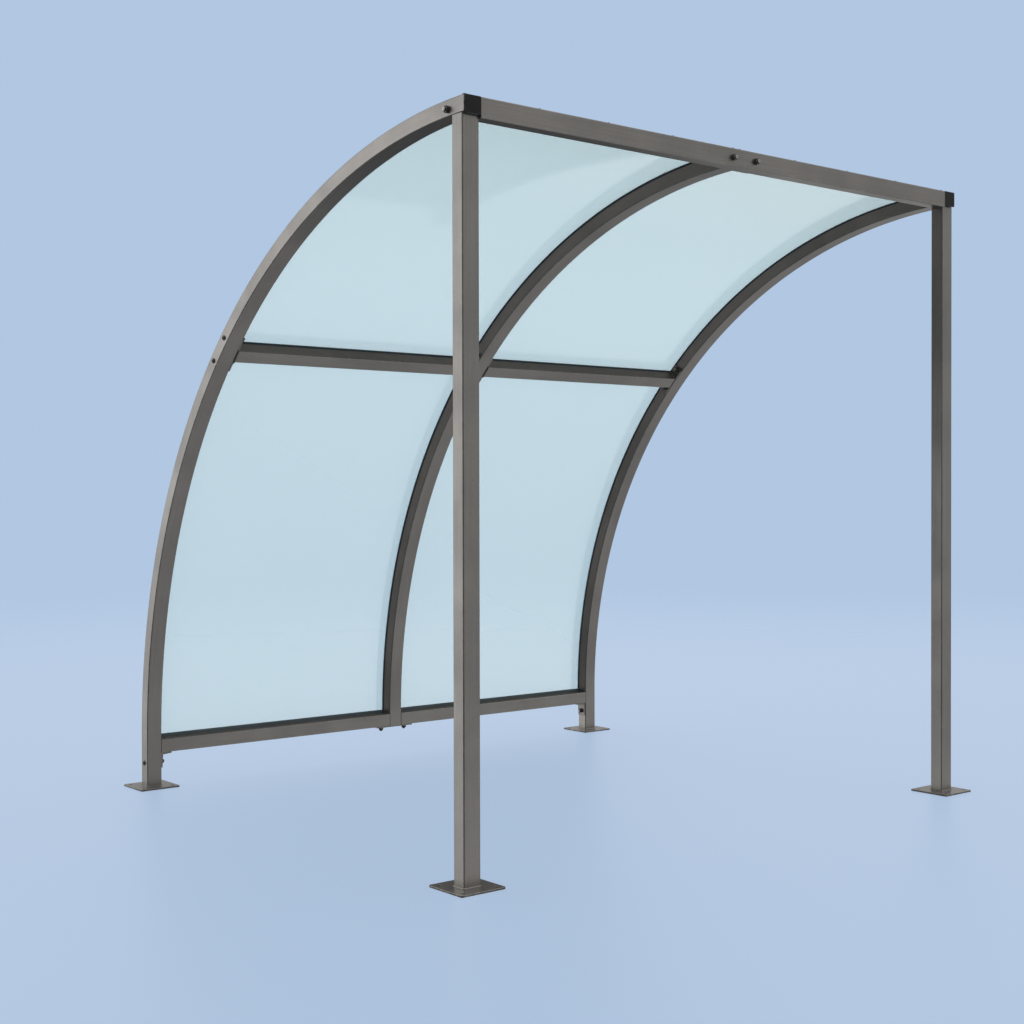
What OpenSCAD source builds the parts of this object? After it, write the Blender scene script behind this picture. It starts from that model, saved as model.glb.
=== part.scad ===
// Curved bike shelter: two front posts and three quarter-round ribs of steel
// tube, tied by a front beam, a purlin half way round and a rail near the ground,
// with four bent clear sheets on rubber strips over the outside of the frame.
//
// Frame: X runs along the front beam, Y to the back, Z up. The origin is on the
// ground, under the middle of the whole shelter.

/* [Overall] */
// Width over the outer faces of the side ribs
shelter_w = 2224; // [1800:10:3200]
// Outer radius of the quarter-round ribs
rib_r = 1980; // [1700:10:2300]
// Height of the ribs' straight feet, from the ground to where the curve starts
foot_h = 185; // [60:5:400]

/* [Tube] */
// Wider side of the tube of the posts, the ribs and the front beam
tube_w = 58; // [40:1:70]
// Narrower side of the tube, which the ribs show from the side
tube_d = 48; // [35:1:60]
// Upright side of the purlins' and rails' tube, whose other side is tube_d
cross_w = 50; // [40:1:60]
// Outer radius of the tube's corners
tube_corner = 4; // [2:0.5:8]
// How far the ribs and the front beam stand out in front of the posts
beam_lead = 10; // [0:1:30]

/* [Base plates] */
// Side of the square base plates
plate_size = 154; // [120:5:200]
// Thickness of the base plates
plate_t = 6; // [4:1:12]
// Radius of the base plates' corners
plate_corner = 8; // [2:1:20]
// Distance between the bolt holes of a base plate
plate_pitch = 112; // [95:1:120]
// Diameter of the bolt holes of a base plate
plate_hole_d = 12; // [10:1:16]

/* [Cross members] */
// Angle of the purlin round the curve, up from the level of the curve's centre
purlin_angle = 45; // [35:1:55]
// Height of the bottom rail's lower face above the ground
rail_z = 125; // [110:1:170]

/* [Fixing plates] */
// Thickness of the purlins' end plates, the brackets, the head plate and the strap
fixing_t = 5; // [4:1:8]
// Length of the purlins' end plates along the ribs
end_plate_l = 138; // [110:2:180]
// Length of the strap under the middle rib's foot
strap_l = 174; // [150:2:240]
// Length of the head plate between the middle rib and the front beam
head_plate_l = 144; // [120:2:200]
// Length of the rail brackets' level legs
rail_bracket_l = 42; // [36:1:70]
// Drop of the rail brackets' upright legs under the rail
rail_bracket_drop = 56; // [50:1:80]
// Length of each leg of the angle brackets behind the front beam's ends
beam_bracket_l = 60; // [50:1:90]

/* [Sheets] */
// Thickness of the clear sheets
sheet_t = 5; // [3:0.5:10]
// Thickness of the rubber strips under the sheets
strip_t = 3; // [2:0.5:5]
// How far the rubber strips show past the frame into a bay
strip_show = 4; // [2:1:15]
// How far the sheets' outer edges stay in from the side ribs' outer faces
sheet_inset = 22; // [20:1:30]
// Gap between neighbouring sheets
sheet_gap = 5; // [3:1:10]

/* [End caps] */
// How far a cap stands out past the tube on each side
cap_lip = 0.5; // [0.5:0.5:3]
// Thickness of a cap in front of the tube's end
cap_t = 4; // [3:0.5:8]
// Height of a cap, down over the top of the post
cap_h = 52; // [48:1:60]

/* [Hidden] */
$fn = 96;

half_w = shelter_w/2;
// Inner faces of the side ribs
bay_out = half_w - tube_w;
// Side faces of the middle rib
bay_in = tube_w/2;
rib_in_r = rib_r - tube_d;
rib_mid_r = rib_r - tube_d/2;

// The shelter is centred front to back between the posts' front faces and the
// ribs' outer faces, so the base plates stand out equally at the front and back.
depth = rib_r - beam_lead;
post_front_y = -depth/2;
rib_back_y = depth/2;
arc_y = rib_back_y - rib_r;
arc_z = foot_h;
top_z = arc_z + rib_r;
beam_front_y = arc_y;

post_x = half_w - tube_w/2;
front_plate_y = post_front_y + tube_d/2;
rear_plate_y = rib_back_y - tube_d/2;
// The post stops under the rib, whose lower face is a little lower at the post's back
post_top = arc_z + sqrt(pow(rib_in_r, 2) - pow(beam_lead + tube_d, 2)) - 0.3;

strip_r = rib_r + strip_t;
sheet_r = strip_r + sheet_t;
// The sheets' front edges rest on the back half of the front beam
sheet_front_y = beam_front_y + 28;
sheet_bottom_z = rail_z + 22;
// Angle that a gap or a width takes up on the curve
function turn(w, r) = 180/PI*w/r;
sheet_top_angle = acos((sheet_front_y - arc_y)/sheet_r);
strip_top_angle = acos((sheet_front_y - arc_y)/strip_r);
half_gap_angle = turn(sheet_gap/2, sheet_r);
purlin_strip_angle = turn(cross_w/2 + strip_show, rib_r);
// The beam's back face, plus what shows of the strip behind it
beam_strip_angle = acos((beam_front_y + tube_d + strip_show - arc_y)/rib_r);
rail_top = rail_z + cross_w;

FRAME_GREY = [0.42, 0.41, 0.39];
PLATE_GREY = [0.5, 0.49, 0.47];
CAP_BLACK = [0.12, 0.12, 0.12];
RUBBER = [0.14, 0.17, 0.18];
CLEAR_BLUE = [0.76, 0.87, 0.91, 0.7];

// Rectangle with round corners, centred
module round_rect(w, d, r) {
    square([w - 2*r, d], center = true);
    square([w, d - 2*r], center = true);
    for (x = [-1, 1], y = [-1, 1])
        translate([x*(w/2 - r), y*(d/2 - r)]) circle(r = r);
}

// The frame's tube section, its wide side along the first axis
module tube_section(w = tube_w) {
    round_rect(w, tube_d, tube_corner);
}

// Tube standing upright on z0
module upright_tube(z0, z1) {
    translate([0, 0, z0]) linear_extrude(height = z1 - z0) tube_section();
}

// Tube lying along X between two places, its side w upright
module level_tube(x0, x1, w = tube_w) {
    translate([x0, 0, 0]) rotate([90, 0, 90])
        linear_extrude(height = x1 - x0) rotate(90) tube_section(w);
}

// Carries a flat outline round the ribs' centre line, from one angle to another.
// The outline's first axis is the distance from the centre, its second runs along X.
module round_curve(a0, a1) {
    translate([0, arc_y, arc_z]) rotate([90, 0, 90])
        rotate([0, 0, a0]) rotate_extrude(angle = a1 - a0, $fn = 240) children();
}

// Places its children on the curve at an angle, with +Y pointing outwards
module on_curve(a, r) {
    translate([0, arc_y, arc_z]) rotate([a, 0, 0]) translate([0, r, 0]) children();
}

// Square plate with four holes, welded under a post or a rib
module base_plate(x, y) {
    color(PLATE_GREY) translate([x, y, 0]) difference() {
        linear_extrude(height = plate_t) round_rect(plate_size, plate_size, plate_corner);
        for (i = [-1, 1], j = [-1, 1])
            translate([i*plate_pitch/2, j*plate_pitch/2, -1])
                cylinder(d = plate_hole_d, h = plate_t + 2);
    }
}

module front_post(x) {
    color(FRAME_GREY) translate([x, front_plate_y, 0]) upright_tube(plate_t, post_top);
}

// Straight foot and quarter-round top, in one bent length
module rib(x, z0, a1) {
    color(FRAME_GREY) translate([x, 0, 0]) {
        translate([0, rear_plate_y, 0]) upright_tube(z0, arc_z);
        round_curve(0, a1) translate([rib_mid_r, 0]) rotate(90) tube_section();
    }
}

module side_rib(x) {
    // The tube ends behind the cap's face
    rib(x, plate_t, acos(cap_t/rib_r));
}

// The middle rib starts level with the rail's underside and stops at the head plate
module middle_rib() {
    intersection() {
        rib(0, rail_z, 89.9);
        translate([-tube_w, beam_front_y + tube_d + fixing_t, 0])
            cube([2*tube_w, rib_r + tube_d, top_z + tube_d]);
    }
}

module front_beam() {
    color(FRAME_GREY) translate([0, beam_front_y + tube_d/2, top_z - tube_w/2])
        level_tube(-bay_out, bay_out);
}

// Moulded cap over the end of a side rib
module rib_cap(x) {
    w = tube_w + 2*cap_lip;
    color(CAP_BLACK) translate([x, beam_front_y + cap_t, top_z - cap_h/2])
        rotate([90, 0, 0]) linear_extrude(height = cap_t) round_rect(w, cap_h, tube_corner);
}

// Angle in the corner between the beam's back face and a rib's inner face
module beam_bracket(side) {
    z = top_z - tube_w + 12;
    h = tube_w - 24;
    y = beam_front_y + tube_d;
    color(PLATE_GREY) {
        translate([side > 0 ? bay_out - beam_bracket_l : -bay_out, y, z])
            cube([beam_bracket_l, fixing_t, h]);
        translate([side > 0 ? bay_out - fixing_t : -bay_out, y, z])
            cube([fixing_t, beam_bracket_l, h]);
    }
}

// Plate across the middle rib's upper end, bolted to the beam's back face
module rib_head_plate() {
    color(PLATE_GREY)
        translate([0, beam_front_y + tube_d + fixing_t, top_z - tube_w/2 - 1]) rotate([90, 0, 0])
            linear_extrude(height = fixing_t) round_rect(head_plate_l, tube_w - 4, 5);
}

// Purlin between two end plates, its inner and outer faces along the curve
module purlin(x0, x1) {
    color(FRAME_GREY) on_curve(purlin_angle, rib_mid_r - 0.5)
        level_tube(x0 + fixing_t, x1 - fixing_t, cross_w);
}

module purlin_plate(x) {
    color(PLATE_GREY) on_curve(purlin_angle, rib_mid_r - 0.5) translate([x, 0, 0])
        rotate([90, 0, 90]) linear_extrude(height = fixing_t)
            rotate(90) round_rect(end_plate_l, tube_d - 4, 5);
}

module bottom_rail(x0, x1) {
    color(FRAME_GREY) translate([0, rear_plate_y, rail_z + cross_w/2])
        level_tube(x0, x1, cross_w);
}

// Angle under the rail's outer end, with its upright leg against the rib
module rail_bracket(side) {
    w = tube_d - 8;
    color(PLATE_GREY) {
        translate([side > 0 ? bay_out - rail_bracket_l : -bay_out, rear_plate_y - w/2,
                   rail_z - fixing_t])
            cube([rail_bracket_l, w, fixing_t]);
        translate([side > 0 ? bay_out - fixing_t : -bay_out, rear_plate_y - w/2,
                   rail_z - rail_bracket_drop])
            cube([fixing_t, w, rail_bracket_drop]);
    }
}

// Flat bar that ties both rails to the middle rib's foot
module rib_foot_strap() {
    color(PLATE_GREY) translate([0, rear_plate_y, rail_z - fixing_t])
        linear_extrude(height = fixing_t) round_rect(strap_l, tube_d - 8, 4);
}

// Part of the outer skin: a band of one thickness from r0 out to r1
module curved_band(x0, x1, r0, r1, a0, a1) {
    round_curve(a0, a1) translate([r0, x0]) square([r1 - r0, x1 - x0]);
}

// The same band on the straight stretch under the curve
module straight_band(x0, x1, r0, r1, z0) {
    translate([x0, arc_y + r0, z0]) cube([x1 - x0, r1 - r0, arc_z - z0]);
}

// Limits across the left bay; the right bay is its mirror image
sheet_x0 = -half_w + sheet_inset;
sheet_x1 = -sheet_gap/2;
// Limits of what a sheet leaves open between the strips
window_x0 = -bay_out + strip_show;
window_x1 = -bay_in - strip_show;

// Frame of rubber strips on the ribs, the purlin and the beam, under an upper sheet
module strips_upper() {
    color(RUBBER) difference() {
        curved_band(sheet_x0, sheet_x1, rib_r, strip_r,
                    purlin_angle + half_gap_angle, strip_top_angle);
        curved_band(window_x0, window_x1, rib_r - strip_t, strip_r + strip_t,
                    purlin_angle + purlin_strip_angle, beam_strip_angle);
    }
}

// Frame of rubber strips on the ribs, the purlin and the rail, under a lower sheet
module strips_lower() {
    rail_strip_angle = asin((rail_top + strip_show - arc_z)/rib_r);
    color(RUBBER) difference() {
        union() {
            curved_band(sheet_x0, sheet_x1, rib_r, strip_r, 0, purlin_angle - half_gap_angle);
            straight_band(sheet_x0, sheet_x1, rib_r, strip_r, sheet_bottom_z);
        }
        curved_band(window_x0, window_x1, rib_r - strip_t, strip_r + strip_t,
                    rail_strip_angle, purlin_angle - purlin_strip_angle);
    }
}

module sheet_upper() {
    color(CLEAR_BLUE) curved_band(sheet_x0, sheet_x1, strip_r, sheet_r,
                                  purlin_angle + half_gap_angle, sheet_top_angle);
}

module sheet_lower() {
    color(CLEAR_BLUE) {
        curved_band(sheet_x0, sheet_x1, strip_r, sheet_r, 0, purlin_angle - half_gap_angle);
        straight_band(sheet_x0, sheet_x1, strip_r, sheet_r, sheet_bottom_z);
    }
}

base_plate(-post_x, front_plate_y);  // base_plate_front_left
base_plate(post_x, front_plate_y);  // base_plate_front_right
base_plate(-post_x, rear_plate_y);  // base_plate_rear_left
base_plate(post_x, rear_plate_y);  // base_plate_rear_right
front_post(-post_x);  // front_post_left
front_post(post_x);  // front_post_right
side_rib(-post_x);  // rib_left
middle_rib();  // rib_middle
side_rib(post_x);  // rib_right
front_beam();
rib_cap(-post_x);  // rib_cap_left
rib_cap(post_x);  // rib_cap_right
beam_bracket(-1);  // beam_bracket_left
beam_bracket(1);  // beam_bracket_right
rib_head_plate();
purlin(-bay_out, -bay_in);  // purlin_left
purlin(bay_in, bay_out);  // purlin_right
purlin_plate(-bay_out);  // purlin_plate_left_outer
purlin_plate(-bay_in - fixing_t);  // purlin_plate_left_inner
purlin_plate(bay_in);  // purlin_plate_right_inner
purlin_plate(bay_out - fixing_t);  // purlin_plate_right_outer
bottom_rail(-bay_out, -bay_in);  // bottom_rail_left
bottom_rail(bay_in, bay_out);  // bottom_rail_right
rail_bracket(-1);  // rail_bracket_left
rail_bracket(1);  // rail_bracket_right
rib_foot_strap();
strips_upper();  // strips_upper_left
mirror([1, 0, 0]) strips_upper();  // strips_upper_right
strips_lower();  // strips_lower_left
mirror([1, 0, 0]) strips_lower();  // strips_lower_right
sheet_upper();  // sheet_upper_left
mirror([1, 0, 0]) sheet_upper();  // sheet_upper_right
sheet_lower();  // sheet_lower_left
mirror([1, 0, 0]) sheet_lower();  // sheet_lower_right
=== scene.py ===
"""Curved bike shelter: two posts and three quarter-round ribs of steel tube on
anchor plates, tied by a front beam, purlins and rails, under four bent clear sheets.

X runs along the front beam, Y to the back, Z up, all in metres. The sections follow
the order in which the shelter is put together.
"""

import math

import bmesh
import bpy
import numpy as np
from mathutils import Matrix, Vector


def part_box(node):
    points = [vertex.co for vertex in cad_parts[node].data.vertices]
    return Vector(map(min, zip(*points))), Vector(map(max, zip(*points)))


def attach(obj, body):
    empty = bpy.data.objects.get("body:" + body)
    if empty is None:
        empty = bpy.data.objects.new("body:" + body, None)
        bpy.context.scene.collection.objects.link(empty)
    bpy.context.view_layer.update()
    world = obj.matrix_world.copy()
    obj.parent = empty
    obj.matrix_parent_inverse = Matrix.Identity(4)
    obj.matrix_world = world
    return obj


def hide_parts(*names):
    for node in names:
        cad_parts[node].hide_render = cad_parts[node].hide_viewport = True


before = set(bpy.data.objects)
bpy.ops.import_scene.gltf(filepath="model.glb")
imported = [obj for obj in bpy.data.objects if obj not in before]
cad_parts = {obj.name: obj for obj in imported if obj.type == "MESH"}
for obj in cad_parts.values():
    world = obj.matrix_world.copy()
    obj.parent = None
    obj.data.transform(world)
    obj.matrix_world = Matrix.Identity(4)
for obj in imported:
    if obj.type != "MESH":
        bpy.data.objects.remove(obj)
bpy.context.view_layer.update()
scene = bpy.context.scene


# ---------------------------------------------------------------- camera
# A long lens at about chest height, off the shelter's front left corner.

eye = bpy.data.cameras.new("eye")
eye.lens = 54.373
eye.sensor_width = 36.0
eye_stand = bpy.data.objects.new("eye", eye)
scene.collection.objects.link(eye_stand)
eye_stand.matrix_world = (
    Matrix.Translation((-3.6588, -4.3241, 1.0820))
    @ Matrix.Rotation(-0.68314, 4, "Z")
    @ Matrix.Rotation(math.pi / 2 - 0.01172, 4, "X")
    @ Matrix.Rotation(-0.00211, 4, "Z")
)
scene.camera = eye_stand


# ---------------------------------------------------------------- front posts
# Two lengths of rolled rectangular steel tube with round corners, satin coated
# in warm grey. Each is cut square and welded down on its anchor plate.

TUBE_WIDE, TUBE_DEEP, TUBE_CORNER = 0.058, 0.048, 0.004
SHOULDER = 0.0035


def rounded_outline(wide, deep, corner, steps=6, shoulder=SHOULDER):
    """Rectangle with round corners, and how near each of its points is to a corner.

    Quarter k has the arc centre + corner * (cos a, sin a), with a from k to k + 1
    right angles, and one more point on the flat at each end of it, a shoulder's
    width away. Nearness is 1 on the arcs and 0 at the shoulders.
    """
    turn = (np.arange(4)[:, None] + np.linspace(0, 1, steps + 1)) * np.pi / 2
    sign = np.array([[1, 1], [-1, 1], [-1, -1], [1, -1]])[:, None]
    arc = sign * (np.array([wide, deep]) / 2 - corner)
    arc = arc + corner * np.stack([np.cos(turn), np.sin(turn)], -1)
    first, last = turn[:, :1], turn[:, -1:]
    before = arc[:, :1] + shoulder * np.stack([np.sin(first), -np.cos(first)], -1)
    after = arc[:, -1:] + shoulder * np.stack([-np.sin(last), np.cos(last)], -1)
    near = np.ones((4, steps + 3))
    near[:, [0, -1]] = 0
    return np.concatenate([before, arc, after], 1).reshape(-1, 2), near.ravel()


def skin(rings, near, hoop=False):
    """Faces over a stack of rings that all have the same number of points.

    Point (i, j) of the stack is vertex i * points + j. A four-sided face joins
    (i, j), (i, j + 1), (i + 1, j + 1) and (i + 1, j), going round at the end of a
    ring. The first and last rings are shut by one flat face each, or joined to
    each other in a hoop. Each face corner also gets the distance along the stack
    and the distance round the ring.
    """
    count, size = rings.shape[:2]
    if hoop:
        rings_on = np.concatenate([rings, rings[:1]])
    else:
        rings_on = rings
    i, j = np.meshgrid(np.arange(len(rings_on) - 1), np.arange(size), indexing="ij")
    up, on = (i + 1) % count, (j + 1) % size
    faces = np.stack([i * size + j, i * size + on, up * size + on, up * size + j], -1)
    step = np.linalg.norm(np.diff(rings_on.mean(1), axis=0), axis=1)
    along = np.concatenate([[0], np.cumsum(step)])
    middle = rings[count // 2]
    step = np.linalg.norm(np.roll(middle, -1, 0) - middle, axis=1)
    around = np.concatenate([[0], np.cumsum(step)])
    run = np.stack(
        [
            np.stack([along[i], along[i], along[i + 1], along[i + 1]], -1),
            np.stack([around[j], around[j + 1], around[j + 1], around[j]], -1),
        ],
        -1,
    )
    faces, run = faces.reshape(-1, 4).tolist(), run.reshape(-1, 2)
    if not hoop:
        ends = np.arange(size)[::-1], (count - 1) * size + np.arange(size)
        faces += [end.tolist() for end in ends]
        run = np.concatenate([run, np.zeros((size, 2)), np.full((size, 2), along[-1])])
    return rings.reshape(-1, 3), faces, run, np.broadcast_to(near, (count, size)).ravel()


def carried(outline, near, path, side, out):
    """Bar with one outline all along a path.

    Point (i, j) = path(i) + outline x(j) * side(i) + outline y(j) * out(i).
    Nearness is 1 on the end rings too, where the bar was cut.
    """
    side, out = np.broadcast_to(side, path.shape), np.broadcast_to(out, path.shape)
    rings = (
        path[:, None]
        + outline[None, :, :1] * side[:, None]
        + outline[None, :, 1:] * out[:, None]
    )
    near = np.tile(near, (len(path), 1))
    near[[0, -1]] = 1
    return skin(rings, near)


def gathered(shapes):
    """One shape from several: their points and faces one after another."""
    starts = np.cumsum([0] + [len(s[0]) for s in shapes])
    faces = [[v + a for v in f] for s, a in zip(shapes, starts) for f in s[1]]
    points, run, near = (np.concatenate([s[k] for s in shapes]) for k in (0, 2, 3))
    return points, faces, run, near


def make_piece(name, shape, finish, stands_for=(), crease=32):
    """Turns a shape into a piece of the shelter, faces outward, on the body root.

    The distances along and round go to the UV map "run", and nearness to a
    corner or a cut end goes to the attribute "near".
    """
    points, faces, run, near = shape
    mesh = bpy.data.meshes.new(name)
    mesh.from_pydata(points.tolist(), [], faces)
    mesh.uv_layers.new(name="run").data.foreach_set("uv", run.astype(np.float32).ravel())
    mesh.attributes.new("near", "FLOAT", "POINT").data.foreach_set(
        "value", near.astype(np.float32)
    )
    skin_mesh = bmesh.new()
    skin_mesh.from_mesh(mesh)
    bmesh.ops.recalc_face_normals(skin_mesh, faces=skin_mesh.faces)
    skin_mesh.to_mesh(mesh)
    skin_mesh.free()
    mesh.polygons.foreach_set("use_smooth", np.ones(len(mesh.polygons), bool))
    mesh.set_sharp_from_angle(angle=math.radians(crease))
    mesh.materials.append(finish)
    made = bpy.data.objects.new(name, mesh)
    scene.collection.objects.link(made)
    flats = made.modifiers.new("flat sides", "WEIGHTED_NORMAL")
    flats.keep_sharp = True
    flats.weight = 100
    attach(made, "root")
    if stands_for:
        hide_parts(*stands_for)
    return made


class Nodes:
    """A node tree, with one short call for a node and one for a colour mix."""

    def __init__(self, tree):
        self.tree = tree

    def add(self, kind, settings=None, **inputs):
        """Adds a node. An input is a value or the output socket that feeds it."""
        made = self.tree.nodes.new("ShaderNode" + kind)
        for key, value in (settings or {}).items():
            setattr(made, key, value)
        for key, value in inputs.items():
            self.put(made.inputs[key.replace("_", " ")], value)
        return made

    def put(self, socket, value):
        """Sets an input, or links it to an output socket."""
        if isinstance(value, bpy.types.NodeSocket):
            self.tree.links.new(value, socket)
        else:
            socket.default_value = value

    def mixed(self, share, a, b):
        """The colour a, going over to b as share goes from 0 to 1."""
        made = self.add("Mix", {"data_type": "RGBA"})
        for number, value in ((0, share), (6, a), (7, b)):
            self.put(made.inputs[number], value)
        return made.outputs[2]

    def sums(self, operation, a, b=0.5, c=0.5, clamp=False):
        """One step of arithmetic on plain numbers."""
        made = self.add("Math", {"operation": operation, "use_clamp": clamp})
        for number, value in enumerate((a, b, c)):
            self.put(made.inputs[number], value)
        return made.outputs[0]

    def ranged(self, value, low, high, to_low=0.0, to_high=1.0):
        """Smooth step of value between low and high."""
        made = self.add("MapRange", {"interpolation_type": "SMOOTHSTEP"})
        for number, v in enumerate((value, low, high, to_low, to_high)):
            self.put(made.inputs[number], v)
        return made.outputs[0]

    def noise(self, place, scale, detail=3.0, roughness=0.5):
        """Soft noise around 0.5 at a number of spots to the metre."""
        made = self.add(
            "TexNoise", Vector=place, Scale=scale, Detail=detail, Roughness=roughness
        )
        return made.outputs[0]


def new_group(name, takes, gives):
    """An empty shader node group with named inputs and outputs.

    takes holds (name, default) pairs, where a default of four numbers is a colour.
    gives holds (name, kind) pairs. Returns the tree, its input and its output node.
    """
    tree = bpy.data.node_groups.new(name, "ShaderNodeTree")
    for label, default in takes:
        kind = "NodeSocketColor" if isinstance(default, tuple) else "NodeSocketFloat"
        socket = tree.interface.new_socket(label, in_out="INPUT", socket_type=kind)
        socket.default_value = default
    for label, kind in gives:
        tree.interface.new_socket(label, in_out="OUTPUT", socket_type="NodeSocket" + kind)
    return Nodes(tree), tree.nodes.new("NodeGroupInput"), tree.nodes.new("NodeGroupOutput")


def use_group(nodes, group, **inputs):
    """Places a group in a material, with its own values."""
    made = nodes.add("Group", {"node_tree": group.tree})
    for key, value in inputs.items():
        nodes.put(made.inputs[key.replace("_", " ")], value)
    return made.outputs


# Powder coat: broad clouds of a second shade, fine metal flecks, and a faint
# orange-peel surface.
coat_cloud, taken, given = new_group(
    "coat cloud",
    [
        ("Shade", (0.2, 0.2, 0.2, 1.0)),
        ("Cloud Shade", (0.2, 0.2, 0.2, 1.0)),
        ("Cloud Scale", 4.0),
        ("Fleck Scale", 700.0),
        ("Roughness", 0.4),
        ("Roughness Swing", 0.08),
    ],
    [("Color", "Color"), ("Roughness", "Float"), ("Height", "Float")],
)
place = coat_cloud.add("TexCoord").outputs["Object"]
cloud = coat_cloud.ranged(
    coat_cloud.noise(place, taken.outputs["Cloud Scale"], 4.0, 0.55), 0.35, 0.68
)
fleck = coat_cloud.noise(place, taken.outputs["Fleck Scale"], 2.0, 0.7)
shade = coat_cloud.mixed(cloud, taken.outputs["Shade"], taken.outputs["Cloud Shade"])
bright = coat_cloud.ranged(fleck, 0.3, 0.75, 0.9, 1.12)
lit = coat_cloud.add("VectorMath", {"operation": "SCALE"}, Vector=shade, Scale=bright)
coat_cloud.put(given.inputs["Color"], lit.outputs[0])
swing = coat_cloud.sums("SUBTRACT", cloud, 0.5)
swing = coat_cloud.sums(
    "MULTIPLY_ADD", swing, taken.outputs["Roughness Swing"], taken.outputs["Roughness"]
)
coat_cloud.put(given.inputs["Roughness"], swing)
coat_cloud.put(given.inputs["Height"], fleck)

# Handling wear: the coat is rubbed to a paler, smoother shade in broken patches
# along corners and cut ends.
edge_rub, taken, given = new_group(
    "edge rub",
    [
        ("Color", (0.2, 0.2, 0.2, 1.0)),
        ("Rubbed Color", (0.4, 0.4, 0.4, 1.0)),
        ("Amount", 0.5),
        ("Patch Scale", 60.0),
    ],
    [("Color", "Color"), ("Mask", "Float")],
)
near = edge_rub.add("Attribute", {"attribute_name": "near"}).outputs["Fac"]
place = edge_rub.add("TexCoord").outputs["Object"]
patch = edge_rub.noise(place, taken.outputs["Patch Scale"], 4.0, 0.6)
patch = edge_rub.ranged(patch, 0.42, 0.7)
mask = edge_rub.sums("MULTIPLY", edge_rub.sums("POWER", near, 2.0), patch)
mask = edge_rub.sums("MULTIPLY", mask, taken.outputs["Amount"], clamp=True)
edge_rub.put(
    given.inputs["Color"],
    edge_rub.mixed(mask, taken.outputs["Color"], taken.outputs["Rubbed Color"]),
)
edge_rub.put(given.inputs["Mask"], mask)

# Dust: a thin dull layer on faces that look up, thicker close to the ground.
settled_dust, taken, given = new_group(
    "settled dust",
    [
        ("Color", (0.2, 0.2, 0.2, 1.0)),
        ("Dust Color", (0.5, 0.48, 0.45, 1.0)),
        ("Amount", 0.3),
    ],
    [("Color", "Color"), ("Mask", "Float")],
)
facing = settled_dust.add("NewGeometry").outputs["Normal"]
facing = settled_dust.add("SeparateXYZ", Vector=facing).outputs["Z"]
level = settled_dust.ranged(facing, 0.3, 0.95)
place = settled_dust.add("TexCoord").outputs["Object"]
height = settled_dust.add("SeparateXYZ", Vector=place).outputs["Z"]
low = settled_dust.ranged(height, 0.3, 0.0, 0.0, 0.35)
spread = settled_dust.noise(place, 25.0, 5.0, 0.65)
mask = settled_dust.sums("ADD", level, low)
mask = settled_dust.sums("MULTIPLY", mask, spread)
mask = settled_dust.sums("MULTIPLY", mask, taken.outputs["Amount"], clamp=True)
settled_dust.put(
    given.inputs["Color"],
    settled_dust.mixed(mask, taken.outputs["Color"], taken.outputs["Dust Color"]),
)
settled_dust.put(given.inputs["Mask"], mask)


def new_finish(name, metallic):
    """A material with a Principled shader: its nodes and that shader."""
    made = bpy.data.materials.new(name)
    made.use_nodes = True
    nodes = Nodes(made.node_tree)
    shader = made.node_tree.nodes["Principled BSDF"]
    shader.inputs["Metallic"].default_value = metallic
    return made, nodes, shader


def surfaced(nodes, shader, colour, rough, height, strength, distance):
    """Gives a Principled shader its colour and roughness, and a bump from a height
    that reaches distance at full strength."""
    nodes.put(shader.inputs["Base Color"], colour)
    nodes.put(shader.inputs["Roughness"], rough)
    bump = nodes.add("Bump", Strength=strength, Distance=distance, Height=height)
    nodes.put(shader.inputs["Normal"], bump.outputs[0])


def coated_steel(name, shade, cloud_shade, rubbed, roughness, drawn=0.0, cut=None):
    """Satin metallic coat on steel. drawn is how strongly the rolling marks that
    run along a tube show through it, from its UV map. cut is a painted shade: the
    colour mixed in on faces that stand upright, such as a plate's edges, darker
    than the top, to stand in for the shade that falls there."""
    made, nodes, shader = new_finish(name, 0.85)
    coat = use_group(
        nodes, coat_cloud, Shade=shade, Cloud_Shade=cloud_shade, Roughness=roughness
    )
    colour, rough, height = coat["Color"], coat["Roughness"], coat["Height"]
    if drawn:
        run = nodes.add("UVMap", {"uv_map": "run"}).outputs[0]
        stretch = nodes.add(
            "Mapping", Vector=run, Scale=Vector((2.5, 160.0, 1.0))
        ).outputs[0]
        line = nodes.noise(stretch, 1.0, 4.0, 0.6)
        rough = nodes.sums("MULTIPLY_ADD", line, drawn, rough)
        height = nodes.sums("MULTIPLY_ADD", line, 1.5, height)
        streak = nodes.ranged(line, 0.3, 0.7, 1 - drawn / 2, 1 + drawn / 2)
        colour = nodes.add("VectorMath", {"operation": "SCALE"}, Vector=colour, Scale=streak)
        colour = colour.outputs[0]
    # Painted shade: faces that stand upright are mixed over to the darker colour cut, chosen by
    # their normal, in place of the shade on them.
    if cut:
        upright_painted_shade = nodes.add("NewGeometry").outputs["Normal"]
        upright_painted_shade = nodes.add("SeparateXYZ", Vector=upright_painted_shade).outputs["Z"]
        upright_painted_shade = nodes.ranged(nodes.sums("ABSOLUTE", upright_painted_shade), 0.5, 0.1)
        colour = nodes.mixed(upright_painted_shade, colour, cut)
        rough = nodes.sums("MULTIPLY_ADD", upright_painted_shade, 0.3, rough)
    worn = use_group(nodes, edge_rub, Color=colour, Rubbed_Color=rubbed, Amount=0.3)
    dusty = use_group(nodes, settled_dust, Color=worn["Color"], Amount=0.25)
    rough = nodes.sums("MULTIPLY_ADD", worn["Mask"], -0.1, rough)
    rough = nodes.sums("MULTIPLY_ADD", dusty["Mask"], 0.3, rough, clamp=True)
    surfaced(nodes, shader, dusty["Color"], rough, height, 0.25, 0.0002)
    return made


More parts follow.
